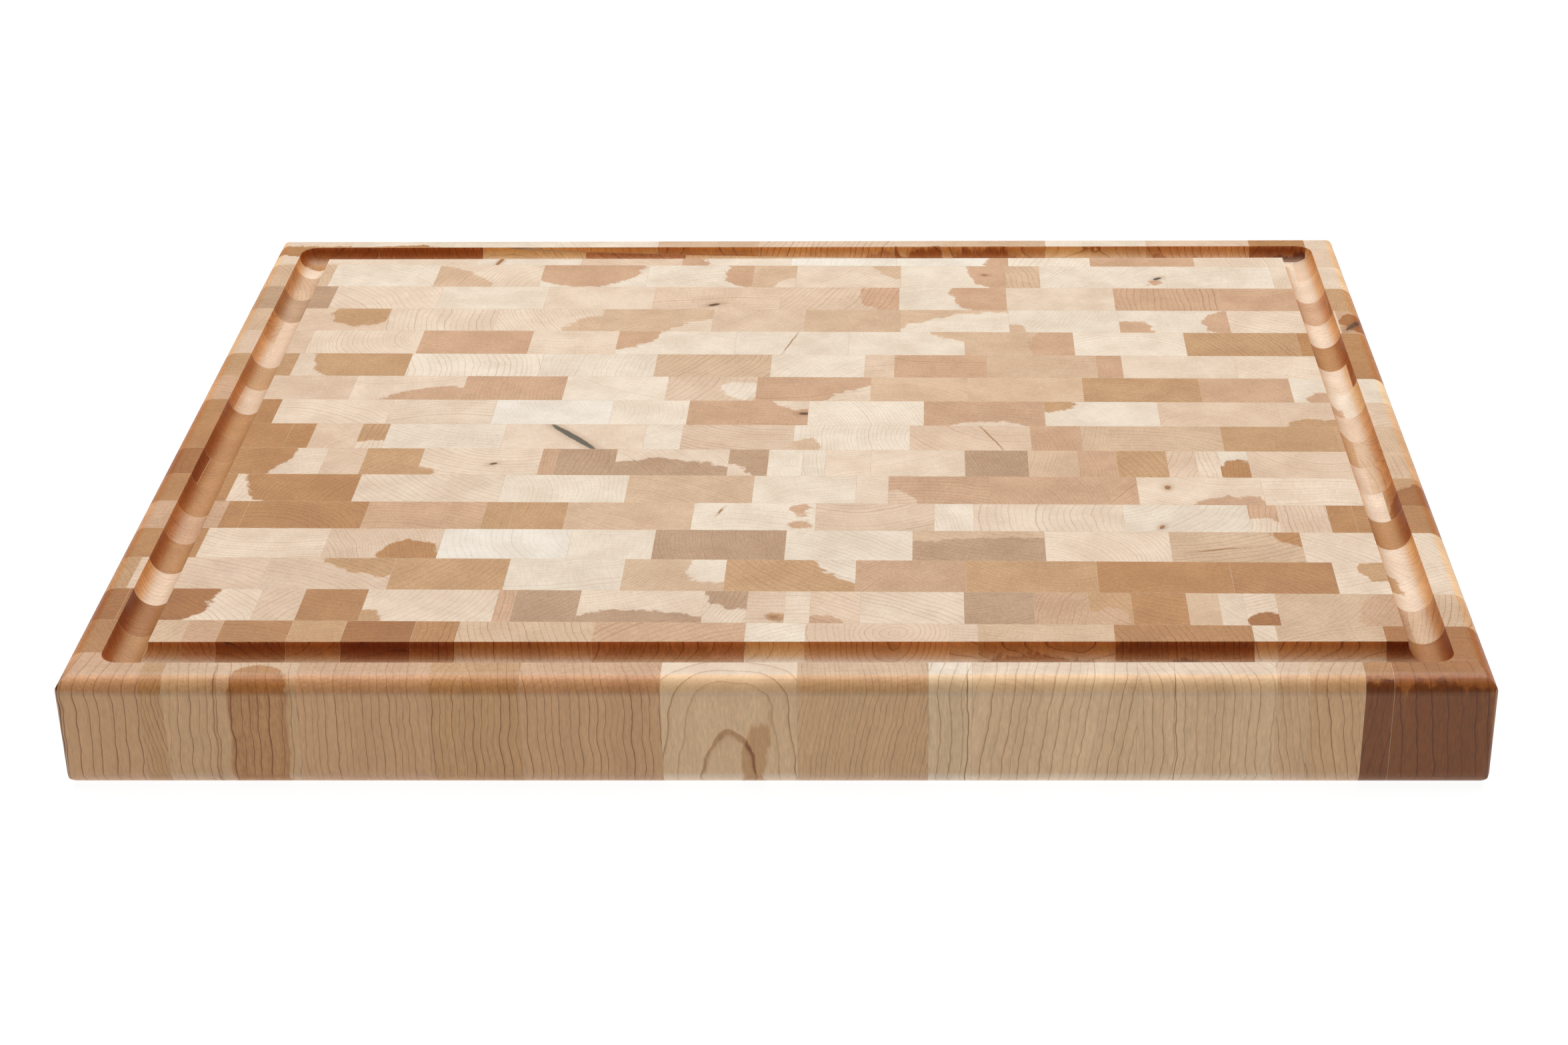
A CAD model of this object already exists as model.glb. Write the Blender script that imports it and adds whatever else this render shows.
"""End-grain maple cutting board: sawn blocks of solid figured wood, cured glue lines, studio light."""
import math
import random
from bisect import bisect

import bpy
from mathutils import Matrix, Vector


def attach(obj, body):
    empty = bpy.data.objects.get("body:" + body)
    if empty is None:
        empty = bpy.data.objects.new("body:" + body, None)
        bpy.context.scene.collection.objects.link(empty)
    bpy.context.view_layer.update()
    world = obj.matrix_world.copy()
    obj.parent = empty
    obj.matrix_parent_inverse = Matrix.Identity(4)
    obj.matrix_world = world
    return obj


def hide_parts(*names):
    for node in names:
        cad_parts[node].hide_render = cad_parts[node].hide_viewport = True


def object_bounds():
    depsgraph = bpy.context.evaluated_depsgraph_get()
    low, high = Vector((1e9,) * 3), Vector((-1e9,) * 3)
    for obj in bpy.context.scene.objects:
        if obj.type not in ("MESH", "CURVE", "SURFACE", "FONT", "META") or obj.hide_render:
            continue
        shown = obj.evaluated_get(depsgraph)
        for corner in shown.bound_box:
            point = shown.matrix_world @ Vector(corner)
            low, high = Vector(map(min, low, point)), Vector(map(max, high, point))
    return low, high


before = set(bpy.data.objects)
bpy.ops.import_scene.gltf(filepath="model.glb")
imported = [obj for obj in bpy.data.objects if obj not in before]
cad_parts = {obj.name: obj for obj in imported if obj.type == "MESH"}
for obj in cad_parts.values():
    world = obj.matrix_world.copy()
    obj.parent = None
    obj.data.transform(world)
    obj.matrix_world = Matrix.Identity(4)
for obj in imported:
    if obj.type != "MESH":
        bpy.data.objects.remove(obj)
cad_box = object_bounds()
MM = 0.001

# ---- slab and glue-up, in millimetres, as in the solid model -------------------------------------
LENGTH, DEPTH, THICKNESS = [(high - low) / MM for low, high in zip(*cad_box)]
EDGE_RADIUS = 8.0
CORNER_RADIUS = 3.5
GROOVE_RADIUS = 8.9
GROOVE_INSET = 24.5
GLUE = 0.15
SKEW = math.radians(-0.65)
REACH = 40.0
STRIP_WIDTHS = [20.9, 28.9, 28.9, 29.7, 29.3, 27.8, 29.2, 29.0, 28.3,
                28.9, 29.4, 28.7, 30.6, 30.2, 31.7, 32.1, 26.9, 17.5]

# Upright joints of each glued panel, from mid length. Strips sawn from one panel repeat its joints.
PANELS = {
    "streak": [-263.5, -253.7, -196.7, -140.8, -127.5, -102.3, -42.7, 15.0, 70.5, 89.0, 159.0,
               217.5, 231.2, 254.5, 266.5],
    "offcuts": [-272.0, -255.3, -240.2, -209.8, -186.2, -156.0, -136.8, -77.5, -11.7, 14.5, 76.8,
                89.2, 148.2, 208.2, 218.3, 264.7],
    "mixed": [-288.7, -229.2, -209.8, -181.8, -123.3, -115.5, -86.7, -31.5, -12.2, 4.5, 15.7,
              37.7, 83.5, 114.3, 138.5, 157.3, 181.8, 196.0, 207.0, 221.2, 280.0],
    "brown": [-291.0, -231.7, -174.5, -122.3, -69.8, -23.7, 35.0, 84.7, 143.7, 203.8, 250.2],
    "pale": [-266.8, -209.7, -156.7, -97.2, -58.5, 2.2, 60.5, 121.3, 178.7, 239.0],
    "tan": [-265.7, -205.8, -136.3, -76.2, -15.8, 33.3, 48.7, 97.0, 154.3, 167.5, 226.8, 286.0],
    "square": [-262.3, -203.3, -144.3, -98.0, -34.8, 25.3, 87.0, 145.0, 204.0, 264.2],
    "heart": [-285.8, -226.3, -166.8, -109.3, -49.0, 1.0, 52.8, 111.3, 170.7, 229.8, 289.0],
    "spotted": [-261.3, -202.3, -143.2, -83.5, -14.0, 51.7, 110.7, 169.9, 228.0, 287.0],
    "cream": [-267.7, -208.6, -149.5, -90.0, -30.5, -6.3, 52.3, 111.0, 130.0, 200.5, 260.0],
    "walled": [-249.0, -188.9, -129.5, -72.0, -10.2, 49.5, 113.0, 159.3, 218.2, 277.0],
    "rear": [-265.0, -206.0, -147.0, -88.0, -30.0, 48.3, 76.0, 135.0, 193.0, 252.0, 284.0],
}
# Front strip first: panel, shift along X, whether it was turned end for end, and the tone of each
# block from left to right.
STRIPS = [
    ("streak", -2.7, False, "hbthbbhstcssltrd"),
    ("offcuts", 0.0, False, "rthrbdrthclltrstd"),
    ("mixed", 0.0, False, "dslrshgsslslsghbrtsstt"),
    ("brown", 0.0, False, "bllbctbhbrrs"),
    ("pale", 0.0, False, "rslwcgctsts"),
    ("streak", 0.0, False, "hrrhbbtclcschlrr"),
    ("tan", 0.0, False, "rssctcshhhssb"),
    ("mixed", 2.0, False, "dslbshgsgccssgthblsclt"),
    ("streak", 16.0, True, "rrlbcsclclhttbbt"),
    ("pale", 5.0, False, "rsswchchcll"),
    ("brown", 3.2, False, "hlshclhttbhc"),
    ("tan", 1.3, False, "bscctclhthssr"),
    ("square", 0.0, False, "lshsccctcbr"),
    ("heart", 0.0, False, "tlsstlttccsh"),
    ("spotted", 0.0, False, "gscsllcshhb"),
    ("cream", 0.0, False, "tcscctsctccs"),
    ("walled", 0.0, False, "ssclcwwchsl"),
    ("rear", 0.0, False, "sccctlltclrs"),
]

# Maple tones as sRGB, from bleached sapwood (w) to dark heartwood (d), grey heart (g), bark (k).
TONES = {
    "w": "DCD2C4", "c": "D9CAB7", "s": "D7C2AC", "l": "D0B69D", "t": "C7A98B", "h": "BF9A7B",
    "b": "B79068", "r": "AB7C4E", "d": "9B6737", "e": "7C4A1C", "g": "AE8E71",
    "k": "5A5346", "m": "96683C", "n": "5E4126",
}
# What the growth rings, the cut and the oil multiply the colour of the wood by.
RING_PIGMENT = (0.54, 0.37, 0.25, 1)
HALO_PIGMENT = (0.60, 0.47, 0.38, 1)
LONG_GRAIN_PIGMENT = (1.22, 1.07, 0.83, 1)
LONG_GRAIN_MIDDLE = (0.60, 0.43, 0.29, 1)
ROUNDOVER_PIGMENT = (1.46, 1.20, 0.84, 1)
ROUNDOVER_DEPTH = 1.2
ROUNDOVER_AMOUNT = 0.8
GROOVE_PIGMENT = (1.45, 1.08, 0.62, 1)
GROOVE_DEPTH = 1.6
BRIGHTEST = (0.92, 0.92, 0.92)
# Heartwood that shows in a block: strip, X of the block, tone, X of its centre, Y from the middle of
# the strip, radius.
HEARTS = [
    (1, -228, "r", -216, -12, 13), (1, -40, "b", -5, -20.4, 5.5), (1, 240, "b", 246, -16, 6),
    (1, 257, "e", 257, -160, 155), (1, 285, "e", 285, -160, 155),
    (2, -45, "b", -45, -160, 157), (2, 118, "r", 118, -160, 157), (2, 180, "e", 180, -160, 157),
    (3, -260, "d", -284, 12, 36), (3, -150, "b", -180, -14, 9), (3, -60, "g", -60, -80, 77),
    (3, -20, "g", -14, 18, 20), (3, 0, "b", 1, -9, 4), (3, 25, "h", 18, -18, 12),
    (3, 150, "h", 145, -10, 11), (3, 214, "d", 217, -14, 11), (3, 250, "h", 290, -8, 34),
    (4, -200, "b", -178, 36, 38), (4, -40, "c", -27, 8, 15), (4, 0, "c", 50, 26, 36),
    (4, 280, "b", 272, 8, 10),
    (5, -180, "r", -170, -10, 13.5), (5, 90, "g", 100, -150, 157), (5, 210, "r", 240, 16, 15),
    (6, 224, "s", 224, -16, 16), (6, -10, "h", 7, 8, 6), (6, -10, "h", 8, -7, 5),
    (7, -230, "r", -205, 20, 57), (7, 70, "l", 38, -22, 26), (7, 200, "h", 212, -34, 28),
    (7, 295, "d", 305, -14, 20),
    (8, -260, "r", -284, 16, 42), (8, -150, "b", -179, -15, 9), (8, -60, "g", -62, -60, 64),
    (8, -20, "s", -38, -20, 22), (8, 215, "r", 217, -6, 11),
    (9, -208, "s", -208, -16, 12), (9, 30, "t", 5, -10, 9),
    (10, 95, "s", 96, -58, 48), (10, 150, "b", 130, 13, 12), (10, -20, "s", 5, 24, 20),
    (10, 280, "b", 262, -26, 22),
    (11, -200, "h", -180, -38, 40), (11, -40, "c", -27, -1, 11), (11, 10, "s", 48, -30, 36),
    (11, 280, "h", 270, -12, 9),
    (12, -230, "b", -208, 18, 50),
    (13, -60, "h", -104, 20, 29), (13, 60, "t", 90, 24, 22), (13, 120, "h", 152, -2, 32),
    (14, -250, "b", -241, 8, 17), (14, -130, "t", -108, -18, 22), (14, -80, "s", -45, -28, 31),
    (14, 80, "c", 110, -75, 88), (14, 140, "t", 111, -13, 9), (14, 200, "h", 236, -3, 20),
    (14, 200, "h", 174, -14, 14), (14, 297, "d", 300, 0, 12),
    (15, 20, "h", 56, 4, 25), (15, 80, "h", 118, 10, 38),
    (16, -180, "t", -220, -32, 48), (16, -120, "h", -125, 17, 34), (16, -60, "h", -26, 5, 21),
    (16, -18, "s", -4, -20, 16), (16, 20, "t", 56, 14, 18), (16, 80, "h", 122, 12, 33),
    (16, 160, "h", 194, -9, 5),
    (17, -280, "r", -270, 160, 163), (17, -220, "r", -220, 160, 163), (17, -100, "h", -100, 160, 163),
    (17, -40, "h", -78, -10, 20), (17, 80, "h", 113, -10, 13),
    (18, -285, "r", -285, -160, 153.5), (18, -235, "r", -235, -160, 153.5),
    (18, 20, "h", 60, -160, 153.5), (18, 60, "r", 60, -160, 153.5), (18, 100, "r", 100, -160, 153.5),
    (18, 220, "b", 220, -160, 153.5), (18, 270, "e", 270, -160, 153.5),
]
# Bark pockets, pin knots and mineral lines: strip, X of the block, tone, X, Y, half length, half
# width, direction in degrees.
FLECKS = [
    (1, -290, "n", -300, -10, 6, 0.4, 84), (1, -228, "m", -234, -9, 5, 0.3, 90),
    (1, 77, "m", 84, -9, 8, 0.2, 90), (1, 180, "m", 172, -9, 8, 0.15, 90),
    (3, 0, "m", 0, -9, 1.8, 1.2, 0), (5, 210, "m", 200, -3, 10, 0.5, 12),
    (6, 160, "m", 161, 0, 15, 0.6, 98), (6, 190, "m", 176, -9, 2.2, 1.2, 60),
    (6, -30, "m", -30, 5, 3, 0.5, 70), (7, 200, "m", 181, 3, 2.2, 1.6, 90),
    (8, -150, "n", -144, -3, 2, 1, 20), (9, -108, "k", -108, 0, 21, 2.0, -50),
    (9, 99, "m", 99, 0, 15, 0.3, 112), (10, -20, "n", 5, -1, 2.5, 1.6, 0),
    (11, 20, "m", 42, -12, 7, 0.5, 100), (14, 297, "n", 296, -4, 9, 1.5, 60),
    (15, -50, "n", -50, -9, 3.5, 1.6, 20), (16, 100, "m", 99.7, 3, 1.8, 1.2, 0),
    (16, 196, "k", 196, -2, 3, 1.4, 40),
    (13, 0, "m", -6, 0, 12, 0.3, 75), (17, -175, "m", -175, -9, 8, 1.2, 75),
]
# Growth rings that are told apart: strip, X of the block, X and Y of the pith, ring width, lean.
RINGS = [
    (1, -290, -420, 20, 5.0, 0.03, 0.05), (1, -228, -430, -30, 4.4, 0.04, 0.02),
    (1, -260, -330, 30, 1.6, -0.12, 0.0), (1, -170, -20, 10, 3.3, -0.02, 0.03),
    (1, -137, -10, -60, 3.0, 0.02, 0.0), (1, -117, 20, 30, 3.2, 0.0, 0.04),
    (1, -76, 80, 40, 3.3, -0.03, 0.05), (1, -17, -16, -32, 7.5, 0.02, -0.30),
    (1, 40, 200, 10, 2.3, 0.16, 0.03), (1, 77, 260, -40, 5.0, 0.0, 0.0),
    (1, 120, -100, 20, 4.2, 0.14, -0.03), (1, 185, 400, 60, 3.9, -0.03, 0.05),
    (1, 221, 80, 40, 3.4, -0.14, 0.03), (1, 240, 60, 50, 4.0, -0.12, 0.1),
    (1, 257, 150, 40, 3.0, 0.1, -0.12), (1, 285, 440, 20, 6.0, -0.03, -0.12),
    (2, 45, 52, 6, 2.6, 0.0, 0.0), (3, 60, 20, -60, 3.4, 0.0, 0.0), (10, 215, 210, -25, 2.0, 0.0, 0.0),
]


# ---- small tools ----------------------------------------------------------------------------------
def put(tree, kind, values=(), **settings):
    """A node with its settings, and its sockets linked or filled in."""
    node = tree.nodes.new(kind)
    for name, value in settings.items():
        setattr(node, name, value)
    for key, value in dict(values).items():
        socket = node.inputs[key]
        for item in value if isinstance(value, list) else [value]:
            if isinstance(item, bpy.types.NodeSocket):
                tree.links.new(item, socket)
            else:
                socket.default_value = item
    return node


def linear(tone):
    """Scene colour of a tone given as sRGB hex."""
    parts = [int(tone[i:i + 2], 16) / 255.0 for i in (0, 2, 4)]
    return [p / 12.92 if p < 0.04045 else ((p + 0.055) / 1.055) ** 2.4 for p in parts]


def piece(name, mesh):
    """Put a finished mesh in the scene under its own name."""
    made = bpy.data.objects.new(name, mesh)
    bpy.context.scene.collection.objects.link(made)
    return made


def run_tree(mesh, tree, inputs, name):
    """Evaluate a node tree on a mesh and keep the result as a plain mesh."""
    carrier = piece(name, mesh)
    modifier = carrier.modifiers.new(tree.name, "NODES")
    modifier.node_group = tree
    named = {item.name: item.identifier for item in tree.interface.items_tree
             if item.item_type == "SOCKET" and item.in_out == "INPUT"}
    for key, value in inputs.items():
        modifier[named[key]] = value
    graph = bpy.context.evaluated_depsgraph_get()
    graph.update()
    result = bpy.data.meshes.new_from_object(carrier.evaluated_get(graph))
    carrier.modifiers.remove(modifier)
    bpy.data.objects.remove(carrier)
    result.name = name
    return result


# ---- node trees that cut the wood ------------------------------------------------------------------
def new_tree(name, sockets):
    tree = bpy.data.node_groups.new(name, "GeometryNodeTree")
    for label, kind in sockets:
        tree.interface.new_socket(label, in_out="INPUT", socket_type="NodeSocket" + kind)
    tree.interface.new_socket("Geometry", in_out="OUTPUT", socket_type="NodeSocketGeometry")
    return tree, put(tree, "NodeGroupInput").outputs


def finish_tree(tree, shape, material):
    real = put(tree, "GeometryNodeRealizeInstances", {0: shape})
    dressed = put(tree, "GeometryNodeSetMaterial", {"Geometry": real.outputs[0], "Material": material})
    put(tree, "NodeGroupOutput", {0: dressed.outputs[0]})


def rounded_bar(tree, width, height, radius, length, turn, steps):
    """Closed bar of rounded rectangular section, centred, turned from the Z axis."""
    outline = put(tree, "GeometryNodeCurvePrimitiveQuadrilateral", {"Width": width, "Height": height})
    eased = put(tree, "GeometryNodeFilletCurve",
                {"Curve": outline.outputs[0], "Radius": radius, "Count": steps}, mode="POLY")
    face = put(tree, "GeometryNodeFillCurve", {0: eased.outputs[0]}, mode="NGONS").outputs[0]
    sides = put(tree, "GeometryNodeExtrudeMesh",
                {"Mesh": face, "Offset Scale": length, "Individual": False}).outputs[0]
    back = put(tree, "GeometryNodeFlipFaces", {0: face}).outputs[0]
    shell = put(tree, "GeometryNodeJoinGeometry", {0: [back, sides]}).outputs[0]
    shell = put(tree, "GeometryNodeMergeByDistance", {"Geometry": shell, "Distance": 1e-6}).outputs[0]
    half = put(tree, "ShaderNodeMath", {0: length, 1: -0.5}, operation="MULTIPLY").outputs[0]
    down = put(tree, "ShaderNodeCombineXYZ", {"Z": half}).outputs[0]
    centred = put(tree, "GeometryNodeTransform", {"Geometry": shell, "Translation": down}).outputs[0]
    return put(tree, "GeometryNodeTransform", {"Geometry": centred, "Rotation": turn}).outputs[0]


def squared_slab_tree():
    """Slab trimmed to size with its edges rounded over and the juice groove routed."""
    tree, size = new_tree("squared slab", [
        ("Geometry", "Geometry"), ("Length", "Float"), ("Depth", "Float"), ("Thickness", "Float"),
        ("Edge Radius", "Float"), ("Corner Radius", "Float"), ("Groove Radius", "Float"),
        ("Groove Inset", "Float"), ("Steps", "Int"), ("Wood", "Material")])
    right = math.pi / 2

    def longer(socket):
        return put(tree, "ShaderNodeMath", {0: socket, 1: 0.02}, operation="ADD").outputs[0]

    plan = rounded_bar(tree, size["Length"], size["Depth"], size["Corner Radius"],
                       size["Thickness"], (0, 0, 0), size["Steps"])
    across = rounded_bar(tree, size["Thickness"], size["Depth"], size["Edge Radius"],
                         longer(size["Length"]), (0, right, 0), size["Steps"])
    along = rounded_bar(tree, size["Length"], size["Thickness"], size["Edge Radius"],
                        longer(size["Depth"]), (right, 0, 0), size["Steps"])
    body = put(tree, "GeometryNodeMeshBoolean", {1: [plan, across, along]},
               operation="INTERSECT", solver="EXACT").outputs[0]
    half = put(tree, "ShaderNodeMath", {0: size["Thickness"], 1: 0.5}, operation="MULTIPLY")
    lift = put(tree, "ShaderNodeCombineXYZ", {"Z": half.outputs[0]}).outputs[0]
    body = put(tree, "GeometryNodeTransform", {"Geometry": body, "Translation": lift}).outputs[0]

    inset = put(tree, "ShaderNodeMath", {0: size["Groove Inset"], 1: 2.0}, operation="MULTIPLY")
    run_x = put(tree, "ShaderNodeMath", {0: size["Length"], 1: inset.outputs[0]},
                operation="SUBTRACT").outputs[0]
    run_y = put(tree, "ShaderNodeMath", {0: size["Depth"], 1: inset.outputs[0]},
                operation="SUBTRACT").outputs[0]
    corners = put(tree, "GeometryNodeMeshGrid",
                  {"Size X": run_x, "Size Y": run_y, "Vertices X": 2, "Vertices Y": 2}).outputs[0]
    rows = put(tree, "GeometryNodeMeshGrid",
               {"Size X": 0.0, "Size Y": run_y, "Vertices X": 2, "Vertices Y": 2}).outputs[0]
    rows = put(tree, "GeometryNodeMergeByDistance", {"Geometry": rows, "Distance": 1e-6}).outputs[0]
    columns = put(tree, "GeometryNodeMeshGrid",
                  {"Size X": run_x, "Size Y": 0.0, "Vertices X": 2, "Vertices Y": 2}).outputs[0]
    columns = put(tree, "GeometryNodeMergeByDistance",
                  {"Geometry": columns, "Distance": 1e-6}).outputs[0]
    ball = put(tree, "GeometryNodeMeshUVSphere",
               {"Segments": 64, "Rings": 32, "Radius": size["Groove Radius"]}).outputs[0]
    cuts = []
    for places, length, turn in ((rows, run_x, (0, right, 0)), (columns, run_y, (right, 0, 0))):
        bar = put(tree, "GeometryNodeMeshCylinder",
                  {"Vertices": 64, "Radius": size["Groove Radius"], "Depth": length}).outputs[0]
        cuts.append(put(tree, "GeometryNodeInstanceOnPoints",
                        {"Points": places, "Instance": bar, "Rotation": turn}).outputs[0])
    cuts.append(put(tree, "GeometryNodeInstanceOnPoints",
                    {"Points": corners, "Instance": ball}).outputs[0])
    top = put(tree, "ShaderNodeCombineXYZ", {"Z": size["Thickness"]}).outputs[0]
    bits = []
    for cut in cuts:
        cut = put(tree, "GeometryNodeRealizeInstances", {0: cut}).outputs[0]
        bits.append(put(tree, "GeometryNodeTransform",
                        {"Geometry": cut, "Translation": top}).outputs[0])
    routed = put(tree, "GeometryNodeMeshBoolean", {0: body, 1: bits},
                 operation="DIFFERENCE", solver="MANIFOLD").outputs[0]
    finish_tree(tree, routed, size["Wood"])
    return tree


def sawn_cells_tree():
    """Saw the slab into the upright cells that stand on the given points."""
    tree, given = new_tree("sawn cells", [
        ("Geometry", "Geometry"), ("Slab", "Object"), ("Skew", "Float"), ("Wood", "Material")])
    cube = put(tree, "GeometryNodeMeshCube", {"Size": (1, 1, 1)}).outputs[0]
    size = put(tree, "GeometryNodeInputNamedAttribute", {"Name": "cell_size"},
               data_type="FLOAT_VECTOR").outputs[0]
    cells = put(tree, "GeometryNodeInstanceOnPoints",
                {"Points": given["Geometry"], "Instance": cube, "Scale": size}).outputs[0]
    cells = put(tree, "GeometryNodeRealizeInstances", {0: cells}).outputs[0]
    turn = put(tree, "ShaderNodeCombineXYZ", {"Z": given["Skew"]}).outputs[0]
    cells = put(tree, "GeometryNodeTransform", {"Geometry": cells, "Rotation": turn}).outputs[0]
    slab = put(tree, "GeometryNodeObjectInfo", {"Object": given["Slab"]}).outputs["Geometry"]
    sawn = put(tree, "GeometryNodeMeshBoolean", {1: [slab, cells]},
               operation="INTERSECT", solver="MANIFOLD").outputs[0]
    finish_tree(tree, sawn, given["Wood"])
    return tree


# ---- materials -------------------------------------------------------------------------------------
class Recipe:
    """Short names for the shader nodes of one material."""

    def __init__(self, name):
        self.material = bpy.data.materials.new(name)
        self.material.use_nodes = True
        self.tree = self.material.node_tree
        self.tree.nodes.clear()
        self.shader = put(self.tree, "ShaderNodeBsdfPrincipled")
        put(self.tree, "ShaderNodeOutputMaterial", {"Surface": self.shader.outputs[0]})
        self.place = put(self.tree, "ShaderNodeTexCoord").outputs["Object"]

    def math(self, operation, *values, clamp=False):
        return put(self.tree, "ShaderNodeMath", enumerate(values), operation=operation,
                   use_clamp=clamp).outputs[0]

    def vector(self, operation, *values, **named):
        node = put(self.tree, "ShaderNodeVectorMath", enumerate(values), operation=operation)
        for key, value in named.items():
            socket = node.inputs[key]
            if isinstance(value, bpy.types.NodeSocket):
                self.tree.links.new(value, socket)
            else:
                socket.default_value = value
        return node.outputs["Value" if operation in ("LENGTH", "DOT_PRODUCT", "DISTANCE") else 0]

    def noise(self, place, scale, detail=2.0, rough=0.5, colour=False, **extra):
        values = {"Vector": place, "Scale": scale, "Detail": detail, "Roughness": rough}
        return put(self.tree, "ShaderNodeTexNoise", values, **extra).outputs[1 if colour else 0]

    def ramp(self, value, low, high, to_low=0.0, to_high=1.0, smooth=True):
        return put(self.tree, "ShaderNodeMapRange",
                   {"Value": value, "From Min": low, "From Max": high, "To Min": to_low,
                    "To Max": to_high},
                   interpolation_type="SMOOTHSTEP" if smooth else "LINEAR").outputs[0]

    def mix(self, factor, a, b, blend="MIX"):
        node = put(self.tree, "ShaderNodeMix", data_type="RGBA", blend_type=blend)
        for socket, value in ((node.inputs[0], factor), (node.inputs[6], a), (node.inputs[7], b)):
            if isinstance(value, bpy.types.NodeSocket):
                self.tree.links.new(value, socket)
            else:
                socket.default_value = value
        return node.outputs[2]

    def stored(self, name):
        return put(self.tree, "ShaderNodeAttribute", attribute_name=name)

    def split(self, vector):
        return put(self.tree, "ShaderNodeSeparateXYZ", {0: vector}).outputs

    def join(self, x, y, z):
        return put(self.tree, "ShaderNodeCombineXYZ", {0: x, 1: y, 2: z}).outputs[0]


def end_grain_maple():
    """Solid maple: growth rings, heartwood, rays and fibres run up through every block."""
    r = Recipe("end grain maple")
    sap = r.stored("sapwood")
    heart = r.stored("heartwood")
    pith = r.split(r.stored("pith").outputs["Vector"])
    lean = r.split(r.stored("lean").outputs["Vector"])
    place = r.vector("SCALE", r.place, Scale=1000.0)
    x, y, z = r.split(place)

    # Fibres lean a little, and wander slowly on the way up.
    seed = r.math("MULTIPLY", lean[2], 173.0)
    drift = r.noise(r.join(seed, r.math("MULTIPLY", x, 0.02), r.math("MULTIPLY", z, 0.055)), 1.0,
                    2.0, colour=True)
    drift = r.split(r.vector("SUBTRACT", drift, (0.5, 0.5, 0.5)))
    cut_x = r.math("MULTIPLY_ADD", drift[0], 5.0,
                   r.math("SUBTRACT", x, r.math("MULTIPLY", z, lean[0])))
    cut_y = r.math("MULTIPLY_ADD", drift[1], 5.0,
                   r.math("SUBTRACT", y, r.math("MULTIPLY", z, lean[1])))
    stem = r.join(cut_x, cut_y, r.math("MULTIPLY", z, 0.05))
    wood = r.vector("ADD", stem, r.join(seed, r.math("MULTIPLY", seed, 1.7), 0.0))

    # Growth rings round the pith, uneven in width and strength.
    wave = r.noise(wood, 0.035, 2.0, 0.45, colour=True)
    wave = r.vector("SCALE", r.vector("SUBTRACT", wave, (0.5, 0.5, 0.5)), Scale=7.5)
    ripple = r.noise(wood, 0.35, 2.0, 0.5, colour=True)
    ripple = r.vector("SCALE", r.vector("SUBTRACT", ripple, (0.5, 0.5, 0.5)), Scale=0.6)
    ringed = r.vector("ADD", r.vector("ADD", stem, wave), ripple)
    rx, ry, _ = r.split(ringed)
    dx = r.math("SUBTRACT", rx, pith[0])
    dy = r.math("SUBTRACT", ry, pith[1])
    radius = r.math("SQRT", r.math("ADD", r.math("MULTIPLY", dx, dx), r.math("MULTIPLY", dy, dy)))
    years = r.math("DIVIDE", radius, pith[2])
    spread = r.noise(r.join(r.math("ADD", years, seed), seed, 0.0), 0.35, 1.0)
    years = r.math("MULTIPLY_ADD", spread, 1.6, years)
    season = r.math("FRACT", years)
    year = r.math("FLOOR", years)
    strength = put(r.tree, "ShaderNodeTexWhiteNoise",
                   {"W": r.math("ADD", year, seed)}, noise_dimensions="1D").outputs["Value"]
    strength = r.ramp(strength, 0.0, 1.0, 0.35, 1.0, smooth=False)
    late = r.math("POWER", season, 7.0)
    line = r.ramp(season, 0.88, 0.97)
    line = r.math("MULTIPLY", line, r.ramp(season, 0.97, 1.0, 1.0, 0.0))
    ring = r.math("MULTIPLY", strength,
                  r.math("ADD", r.math("MULTIPLY", late, 0.45), r.math("MULTIPLY", line, 0.75)))
    ring = r.math("MULTIPLY", ring, sap.outputs["Alpha"])

    # Heartwood and stain, with ragged borders.
    ragged = r.noise(wood, 0.11, 4.0, 0.6, colour=True)
    ragged = r.vector("SCALE", r.vector("SUBTRACT", ragged, (0.5, 0.5, 0.5)), Scale=14.0)
    stained = r.vector("ADD", stem, ragged)
    hx, hy, _ = r.split(stained)
    stain = None
    for name in ("heart_a", "heart_b"):
        spot = r.split(r.stored(name).outputs["Vector"])
        gx = r.math("SUBTRACT", hx, spot[0])
        gy = r.math("SUBTRACT", hy, spot[1])
        away = r.math("SQRT", r.math("ADD", r.math("MULTIPLY", gx, gx), r.math("MULTIPLY", gy, gy)))
        inside = r.ramp(r.math("SUBTRACT", away, spot[2]), 0.9, -0.9)
        stain = inside if stain is None else r.math("MAXIMUM", stain, inside)

    # Bark pockets, pin knots and mineral lines.
    fleck = r.stored("fleck")
    fx, fy, _ = r.split(r.vector("ADD", stem, r.vector("SCALE", ragged, Scale=0.12)))
    spot = r.split(fleck.outputs["Vector"])
    aim = r.split(r.stored("fleck_aim").outputs["Vector"])
    gx = r.math("SUBTRACT", fx, spot[0])
    gy = r.math("SUBTRACT", fy, spot[1])
    cosine = r.math("COSINE", aim[2])
    sine = r.math("SINE", aim[2])
    run = r.math("ADD", r.math("MULTIPLY", gx, cosine), r.math("MULTIPLY", gy, sine))
    side = r.math("SUBTRACT", r.math("MULTIPLY", gy, cosine), r.math("MULTIPLY", gx, sine))
    run = r.math("DIVIDE", run, aim[0])
    side = r.math("DIVIDE", side, aim[1])
    away = r.math("SQRT", r.math("ADD", r.math("MULTIPLY", run, run), r.math("MULTIPLY", side, side)))
    dark = r.ramp(away, 1.15, 0.75)
    halo = r.ramp(away, 3.2, 0.9, 0.0, 0.45)

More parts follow.
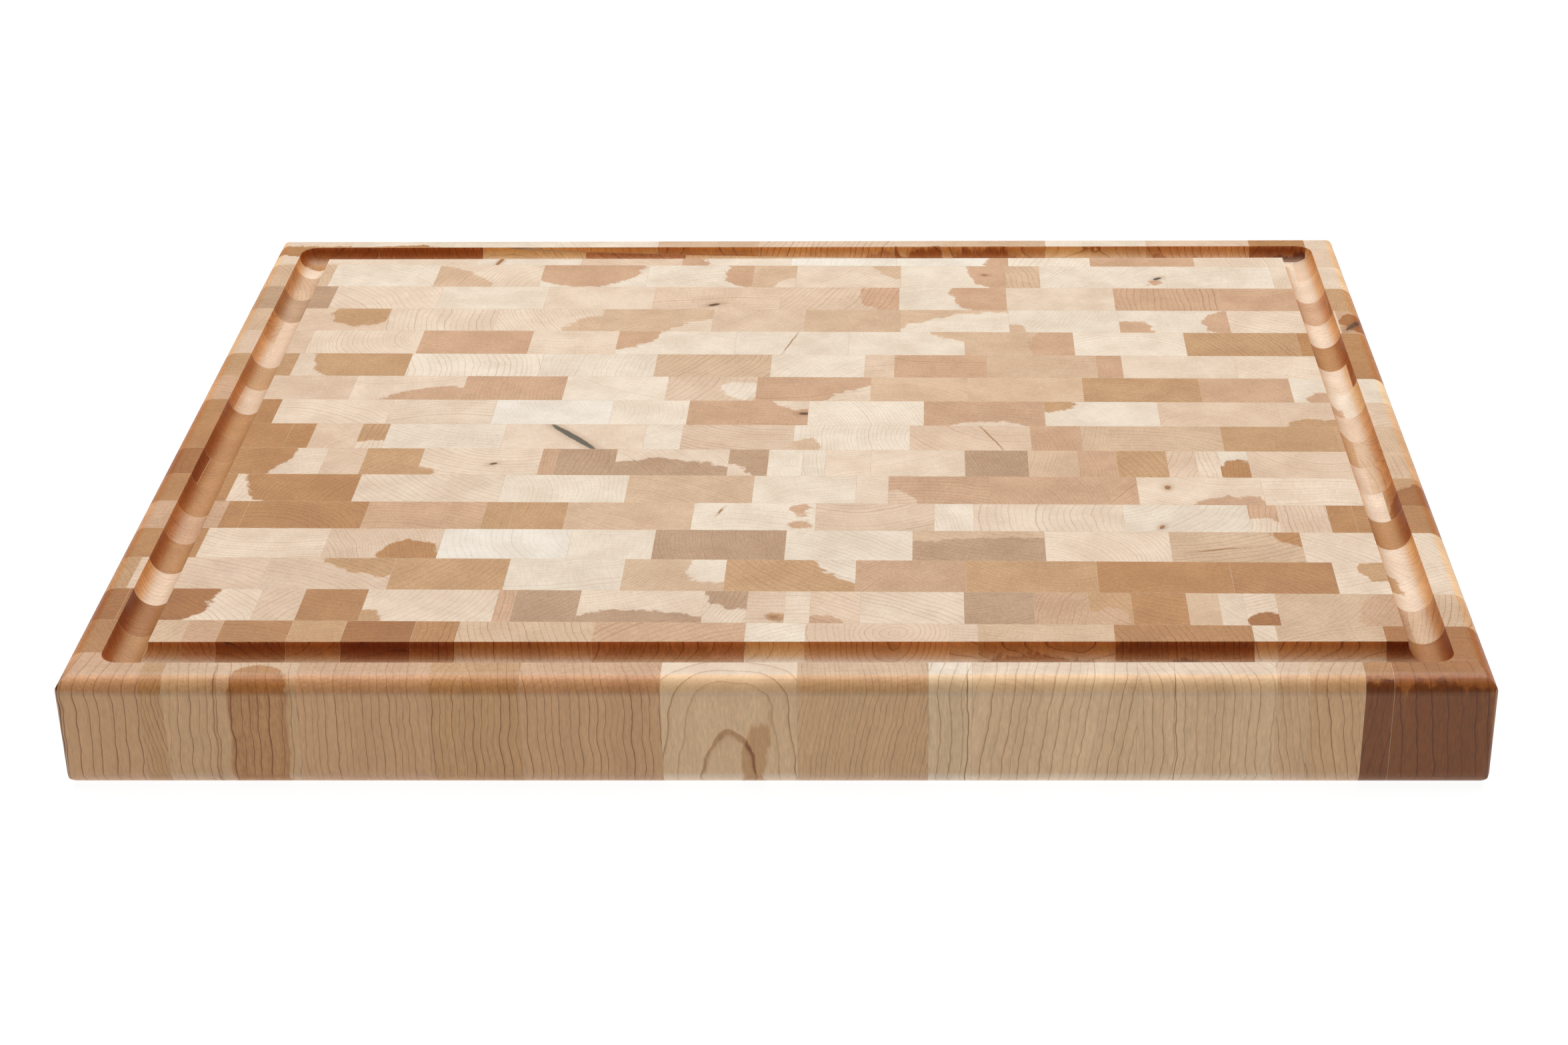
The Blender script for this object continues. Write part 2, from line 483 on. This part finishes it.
    # Mottling, fibres and rays.
    mottle = r.noise(wood, 0.045, 3.0, 0.55)
    cloud = r.noise(wood, 0.3, 3.0, 0.6)
    fibre_place = r.vector("MULTIPLY", place, (1.0, 1.0, 0.035))
    fibre_place = r.vector("ADD", fibre_place, r.join(seed, 0.0, seed))
    fibre = r.noise(fibre_place, 2.2, 3.0, 0.65)
    pores = r.noise(fibre_place, 6.0, 1.0, 0.5)
    turn = r.math("ARCTAN2", dy, dx)
    rays = r.noise(r.join(r.math("MULTIPLY", turn, 160.0), r.math("MULTIPLY", radius, 0.12),
                          r.math("MULTIPLY", z, 0.02)), 1.0, 2.0, 0.6)

    curl = r.noise(r.join(r.math("MULTIPLY", turn, 13.0), r.math("MULTIPLY", radius, 1.7),
                          r.math("MULTIPLY", z, 0.02)), 1.0, 3.0, 0.65)

    colour = r.mix(stain, sap.outputs["Color"], heart.outputs["Color"])
    tint = r.ramp(mottle, 0.3, 0.7)
    colour = r.mix(tint, r.mix(1.0, colour, (0.93, 0.90, 0.87, 1), "MULTIPLY"),
                   r.mix(1.0, colour, (1.05, 1.06, 1.06, 1), "MULTIPLY"))
    grey = r.ramp(cloud, 0.35, 0.75, 0.0, 0.5)
    colour = r.mix(grey, colour, r.mix(1.0, colour, (0.94, 0.93, 0.93, 1), "MULTIPLY"))
    facing = put(r.tree, "ShaderNodeNewGeometry").outputs["Normal"]
    up = r.math("ABSOLUTE", r.split(facing)[2])
    flank = r.ramp(up, 0.30, 0.0)
    ringed = r.math("MULTIPLY", ring, r.math("MULTIPLY_ADD", flank, 1.1, 1.0), clamp=True)
    colour = r.mix(ringed, colour, r.mix(1.0, colour, RING_PIGMENT, "MULTIPLY"))
    shade = r.math("MULTIPLY_ADD", fibre, 0.30, 0.85)
    shade = r.math("MULTIPLY", shade, r.math("MULTIPLY_ADD", pores, 0.16, 0.92))
    shade = r.math("MULTIPLY", shade, r.math("MULTIPLY_ADD", rays, 0.30, 0.85))
    shade = r.math("MULTIPLY", shade, r.math("MULTIPLY_ADD", curl, 0.26, 0.87))
    speck = r.noise(r.vector("MULTIPLY", place, (0.95, 0.95, 0.22)), 1.0, 3.0, 0.7)
    depth = r.ramp(r.split(colour)[1], 0.55, 0.2, 0.15, 0.75)
    depth = r.math("MAXIMUM", depth, r.math("MULTIPLY", flank, 0.8))
    speck = r.math("MULTIPLY", r.math("SUBTRACT", speck, 0.5), depth)
    shade = r.math("MULTIPLY", shade, r.math("ADD", speck, 1.0))
    colour = r.vector("SCALE", colour, Scale=shade)
    colour = r.mix(halo, colour, r.mix(1.0, colour, HALO_PIGMENT, "MULTIPLY"))
    colour = r.mix(dark, colour, r.stored("fleck_tone").outputs["Color"])

    # Long grain on the sides takes less oil; roundovers and the steep walls of the routed groove
    # drink the most, alike all the way round.
    even = r.mix(r.ramp(r.split(colour)[1], 0.10, 0.26, 0.0, 0.35), colour, LONG_GRAIN_MIDDLE)
    colour = r.mix(flank, colour, r.mix(1.0, even, LONG_GRAIN_PIGMENT, "MULTIPLY"))
    routed = r.math("MULTIPLY", r.ramp(z, THICKNESS - 0.1, THICKNESS - 0.7),
                    r.ramp(z, THICKNESS - 10.0, THICKNESS - 9.5))
    routed = r.math("MULTIPLY", routed, r.ramp(r.math("ABSOLUTE", x), LENGTH / 2 - 14, LENGTH / 2 - 15))
    routed = r.math("MULTIPLY", routed, r.ramp(r.math("ABSOLUTE", y), DEPTH / 2 - 14, DEPTH / 2 - 15))
    eased = r.math("MULTIPLY", r.ramp(up, 0.08, 0.35), r.ramp(up, 1.0, 0.93))
    eased = r.math("MULTIPLY", eased, r.math("SUBTRACT", 1.0, routed))
    eased = r.math("MULTIPLY", eased, r.ramp(z, THICKNESS - 13, THICKNESS - 8, 0.25, 1.0))
    eased = r.math("MULTIPLY", eased, ROUNDOVER_AMOUNT)
    steep = r.math("SQRT", r.math("SUBTRACT", 1.0, r.math("MULTIPLY", up, up), clamp=True))
    routed = r.math("MULTIPLY", routed, r.ramp(steep, 0.45, 1.0))
    deep = put(r.tree, "ShaderNodeGamma", {0: colour, 1: ROUNDOVER_DEPTH}).outputs[0]
    colour = r.mix(eased, colour, r.mix(1.0, deep, ROUNDOVER_PIGMENT, "MULTIPLY"))
    deep = put(r.tree, "ShaderNodeGamma", {0: colour, 1: GROOVE_DEPTH}).outputs[0]
    colour = r.mix(routed, colour, r.mix(1.0, deep, GROOVE_PIGMENT, "MULTIPLY"))
    colour = r.vector("MINIMUM", colour, BRIGHTEST)
    r.tree.links.new(colour, r.shader.inputs["Base Color"])

    # Sanding scratches criss-cross the top; the finish sinks into the early wood.
    flat = r.ramp(up, 0.9, 0.99)
    scratch = None
    for angle in (0.5, -0.6, 1.45):
        c, s = math.cos(angle), math.sin(angle)
        u = r.vector("DOT_PRODUCT", place, (c * 0.02, s * 0.02, 0.0))
        v = r.vector("DOT_PRODUCT", place, (-s * 3.0, c * 3.0, 0.0))
        mark = r.ramp(r.noise(r.join(u, v, angle), 1.0, 2.0, 0.7), 0.56, 0.72)
        scratch = mark if scratch is None else r.math("ADD", scratch, mark)
    scratch = r.math("MULTIPLY", scratch, flat)
    gloss = r.math("MULTIPLY_ADD", cloud, 0.16, 0.36)
    gloss = r.math("ADD", gloss, r.math("MULTIPLY", scratch, 0.06))
    gloss = r.math("SUBTRACT", gloss, r.math("MULTIPLY", ring, 0.05))
    r.tree.links.new(gloss, r.shader.inputs["Roughness"])
    height = r.math("MULTIPLY_ADD", fibre, 0.5, r.math("MULTIPLY", pores, 0.3))
    height = r.math("ADD", height, r.math("MULTIPLY", ring, 0.35))
    height = r.math("SUBTRACT", height, r.math("MULTIPLY", scratch, 0.25))
    bump = put(r.tree, "ShaderNodeBump", {"Height": height, "Strength": 0.35, "Distance": 0.00006})
    r.tree.links.new(bump.outputs[0], r.shader.inputs["Normal"])
    r.shader.inputs["IOR"].default_value = 1.45
    return r.material


def wood_glue():
    """Cured glue, amber to brown, sanded flush."""
    r = Recipe("wood glue")
    place = r.vector("SCALE", r.place, Scale=1000.0)
    blot = r.noise(place, 0.12, 3.0, 0.6)
    grain = r.noise(place, 2.5, 2.0, 0.6)
    colour = r.mix(r.ramp(blot, 0.3, 0.7), (0.42, 0.27, 0.15, 1), (0.58, 0.42, 0.28, 1))
    colour = r.mix(r.ramp(grain, 0.35, 0.7, 0.0, 0.5), colour, (0.62, 0.47, 0.32, 1))
    r.tree.links.new(colour, r.shader.inputs["Base Color"])
    r.tree.links.new(r.math("MULTIPLY_ADD", grain, 0.2, 0.35), r.shader.inputs["Roughness"])
    bump = put(r.tree, "ShaderNodeBump", {"Height": grain, "Strength": 0.3, "Distance": 0.00004})
    r.tree.links.new(bump.outputs[0], r.shader.inputs["Normal"])
    return r.material


# ---- sawing the board ------------------------------------------------------------------------------
def joints_of(index):
    """Upright joints of a strip, left to right."""
    panel, shift, turned, _ = STRIPS[index]
    joints = PANELS[panel]
    if turned:
        joints = [-x for x in reversed(joints)]
    return [x + shift for x in joints]


def seam_lines():
    lines, y = [], -DEPTH / 2
    for width in STRIP_WIDTHS[:-1]:
        y += width
        lines.append(y)
    return lines


def spans(joints, first, last):
    ends = [first] + list(joints) + [last]
    return [(a + GLUE / 2, b - GLUE / 2) for a, b in zip(ends, ends[1:])]


def films(joints):
    return [(x - GLUE / 2, x + GLUE / 2) for x in joints]


def cells(grids):
    """Points with a cell size, one for each column in each row of every grid."""
    tall = THICKNESS + 20.0
    mesh = bpy.data.meshes.new("cells")
    centres, sizes = [], []
    for columns, rows in grids:
        for y0, y1 in rows:
            for x0, x1 in columns:
                centres.append([(x0 + x1) / 2 * MM, (y0 + y1) / 2 * MM, THICKNESS / 2 * MM])
                sizes += [(x1 - x0) * MM, (y1 - y0) * MM, tall * MM]
    mesh.from_pydata(centres, [], [])
    mesh.attributes.new("cell_size", "FLOAT_VECTOR", "POINT").data.foreach_set("vector", sizes)
    return mesh


def soften(mesh):
    """Smooth roundovers and groove, crisp sawn edges, flat faces kept flat."""
    mesh.shade_smooth()
    mesh.set_sharp_from_angle(angle=math.radians(35))
    carrier = piece("soften", mesh)
    even = carrier.modifiers.new("even", "WEIGHTED_NORMAL")
    even.keep_sharp = True
    even.mode = "FACE_AREA"
    even.weight = 100
    graph = bpy.context.evaluated_depsgraph_get()
    graph.update()
    result = bpy.data.meshes.new_from_object(carrier.evaluated_get(graph))
    carrier.modifiers.clear()
    bpy.data.objects.remove(carrier)
    return result


def turned_with_glue_lines(x, y):
    c, s = math.cos(SKEW), math.sin(SKEW)
    return c * x - s * y, s * x + c * y


def figure_blocks(mesh, index):
    """Store each block's own wood on its points: tone, pith, lean, heartwood and flecks."""
    joints = joints_of(index)
    tones = STRIPS[index][3]
    seams = [-DEPTH / 2] + seam_lines() + [DEPTH / 2]
    middle = (seams[index] + seams[index + 1]) / 2
    edges = [-LENGTH / 2] + joints + [LENGTH / 2]
    facts = []
    for number, tone in enumerate(tones):
        chance = random.Random(1000 * index + number)
        centre = (edges[number] + edges[number + 1]) / 2
        wide = edges[number + 1] - edges[number]
        kind = chance.random()
        if kind < 0.5:
            aim = chance.choice((90, 270)) + chance.uniform(-28, 28)
        elif kind < 0.8:
            aim = chance.choice((45, 135, 225, 315)) + chance.uniform(-20, 20)
        else:
            aim = chance.choice((0, 180)) + chance.uniform(-25, 25)
        if wide < 30 and chance.random() < 0.6:
            aim += 90
        far = chance.uniform(35, 150)
        pith = (centre + far * math.cos(math.radians(aim)), middle + far * math.sin(math.radians(aim)))
        width = chance.uniform(1.5, 3.4)
        lean = (chance.uniform(-0.06, 0.06), chance.uniform(-0.06, 0.06))
        jitter = chance.uniform(0.97, 1.03)
        base = [v * jitter for v in linear(TONES[tone])]
        pale = {"w": 0.35, "c": 0.6, "s": 0.75, "l": 0.9}.get(tone, 0.8)
        facts.append({
            "sapwood": base + [pale * chance.uniform(0.7, 1.2)],
            "heartwood": base + [1.0], "pith": [*turned_with_glue_lines(*pith), width],
            "lean": [*lean, chance.random()], "hearts": [], "fleck": [9e3, 9e3, 0.0],
            "fleck_aim": [1.0, 1.0, 0.0], "fleck_tone": linear(TONES["n"]) + [1.0]})
    for strip, inside, x, y, width, lean_x, lean_y in RINGS:
        if strip == index + 1:
            fact = facts[bisect(joints, inside)]
            fact["pith"] = [*turned_with_glue_lines(x, y + middle), width]
            fact["sapwood"][3] = 0.75
            fact["lean"] = [lean_x, lean_y, fact["lean"][2]]
    for strip, inside, tone, x, y, size in HEARTS:
        if strip == index + 1:
            fact = facts[bisect(joints, inside)]
            fact["heartwood"] = linear(TONES[tone]) + [1.0]
            fact["hearts"].append([*turned_with_glue_lines(x, y + middle), size])
    for strip, inside, tone, x, y, half_run, half_side, angle in FLECKS:
        if strip == index + 1:
            fact = facts[bisect(joints, inside)]
            fact["fleck"] = [*turned_with_glue_lines(x, y + middle), 0.0]
            fact["fleck_aim"] = [half_run, half_side, math.radians(angle) + SKEW]
            fact["fleck_tone"] = linear(TONES[tone]) + [1.0]
    for fact in facts:
        # A heart is told at the top face: its centre moves back along the lean of the fibres.
        hearts = (fact.pop("hearts") + [[9e3, 9e3, 1.0]] * 2)[:2]
        fact["heart_a"], fact["heart_b"] = hearts
        for key in ("heart_a", "heart_b", "fleck", "pith"):
            fact[key] = [fact[key][0] - THICKNESS * fact["lean"][0],
                         fact[key][1] - THICKNESS * fact["lean"][1], fact[key][2]]

    owner = []
    c, s = math.cos(SKEW), math.sin(SKEW)
    for vertex in mesh.vertices:
        owner.append(bisect(joints, (c * vertex.co.x + s * vertex.co.y) / MM))
    for name in ("sapwood", "heartwood", "fleck_tone"):
        layer = mesh.attributes.new(name, "FLOAT_COLOR", "POINT")
        layer.data.foreach_set("color", [v for k in owner for v in facts[k][name]])
    for name in ("pith", "lean", "heart_a", "heart_b", "fleck", "fleck_aim"):
        layer = mesh.attributes.new(name, "FLOAT_VECTOR", "POINT")
        layer.data.foreach_set("vector", [v for k in owner for v in facts[k][name]])


maple = end_grain_maple()
glue = wood_glue()
slab_mesh = run_tree(bpy.data.meshes.new("blank"), squared_slab_tree(), {
    "Length": LENGTH * MM, "Depth": DEPTH * MM, "Thickness": THICKNESS * MM,
    "Edge Radius": EDGE_RADIUS * MM, "Corner Radius": CORNER_RADIUS * MM,
    "Groove Radius": GROOVE_RADIUS * MM, "Groove Inset": GROOVE_INSET * MM, "Steps": 12,
    "Wood": maple}, "squared_slab")
slab = piece("squared_slab", slab_mesh)

saw = sawn_cells_tree()
seams = seam_lines()
far_x = LENGTH / 2 + REACH
far_y = DEPTH / 2 + REACH
block_films = []
for index, row in enumerate(spans(seams, -far_y, far_y)):
    joints = joints_of(index)
    sawn = run_tree(cells([(spans(joints, -far_x, far_x), [row])]), saw,
                    {"Slab": slab, "Skew": SKEW, "Wood": maple}, "maple_%02d" % (index + 1))
    sawn = soften(sawn)
    figure_blocks(sawn, index)
    strip = piece("maple_%02d" % (index + 1), sawn)
    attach(strip, "root")
    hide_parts("strip_%02d" % (index + 1))
    block_films.append((films(joints), [row]))

settings = {"Slab": slab, "Skew": SKEW, "Wood": glue}
upright = piece("block_joint_glue",
                soften(run_tree(cells(block_films), saw, settings, "block_joint_glue")))
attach(upright, "root")
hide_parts(*["block_glue_%02d" % i for i in range(1, 19)])
long_films = cells([([(-far_x, far_x)], films(seams))])
lengthwise = piece("strip_joint_glue", soften(run_tree(long_films, saw, settings, "strip_joint_glue")))
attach(lengthwise, "root")
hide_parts(*["strip_glue_%02d" % i for i in range(1, 18)])
bpy.data.objects.remove(slab)

# ---- studio ----------------------------------------------------------------------------------------
floor_mesh = bpy.data.meshes.new("studio_floor")
floor_mesh.from_pydata([(-6, -6, 0), (6, -6, 0), (6, 6, 0), (-6, 6, 0)], [], [(0, 1, 2, 3)])
floor = piece("studio_floor", floor_mesh)
paper = bpy.data.materials.new("studio paper")
paper.use_nodes = True
paper_shader = paper.node_tree.nodes["Principled BSDF"]
paper_shader.inputs["Base Color"].default_value = (0.12, 0.12, 0.12, 1)
paper_shader.inputs["Roughness"].default_value = 0.9
paper_shader.inputs["Specular IOR Level"].default_value = 0.0
paper_shader.inputs["Emission Color"].default_value = (1, 1, 1, 1)
paper_shader.inputs["Emission Strength"].default_value = 0.95
floor_mesh.materials.append(paper)


def soft_light(name, size, place, aim, power):
    light = bpy.data.lights.new(name, "AREA")
    light.shape = "RECTANGLE"
    light.size, light.size_y = size
    light.energy = power
    lamp = bpy.data.objects.new(name, light)
    bpy.context.scene.collection.objects.link(lamp)
    lamp.visible_camera = False
    lamp.matrix_world = Matrix.Translation(place) @ \
        (Vector(aim) - Vector(place)).to_track_quat("-Z", "Y").to_matrix().to_4x4()
    return lamp


soft_light("overhead", (3.2, 2.4), (0.0, 0.7, 2.2), (0, 0, 0), 97.0)
world = bpy.data.worlds.new("studio")
world.use_nodes = True
world.node_tree.nodes["Background"].inputs[0].default_value = (1, 1, 1, 1)
world.node_tree.nodes["Background"].inputs[1].default_value = 0.08
bpy.context.scene.world = world

lens = bpy.data.cameras.new("view")
lens.sensor_width = 36.0
lens.lens = 64.689
lens.shift_x = -0.0511
camera = bpy.data.objects.new("view", lens)
pitch, yaw, roll = 0.4752, -0.01176, -0.00622
ahead = Vector((math.sin(yaw) * math.cos(pitch), math.cos(yaw) * math.cos(pitch), -math.sin(pitch)))
right = Vector((math.cos(yaw), -math.sin(yaw), 0))
upward = right.cross(ahead)
across = right * math.cos(roll) + upward * math.sin(roll)
above = -right * math.sin(roll) + upward * math.cos(roll)
camera.matrix_world = Matrix.Translation((0.05033, -1.27606, 0.65381)) @ \
    Matrix((across, above, -ahead)).transposed().to_4x4()
bpy.context.scene.collection.objects.link(camera)
bpy.context.scene.camera = camera
bpy.context.scene.view_settings.view_transform = "Standard"
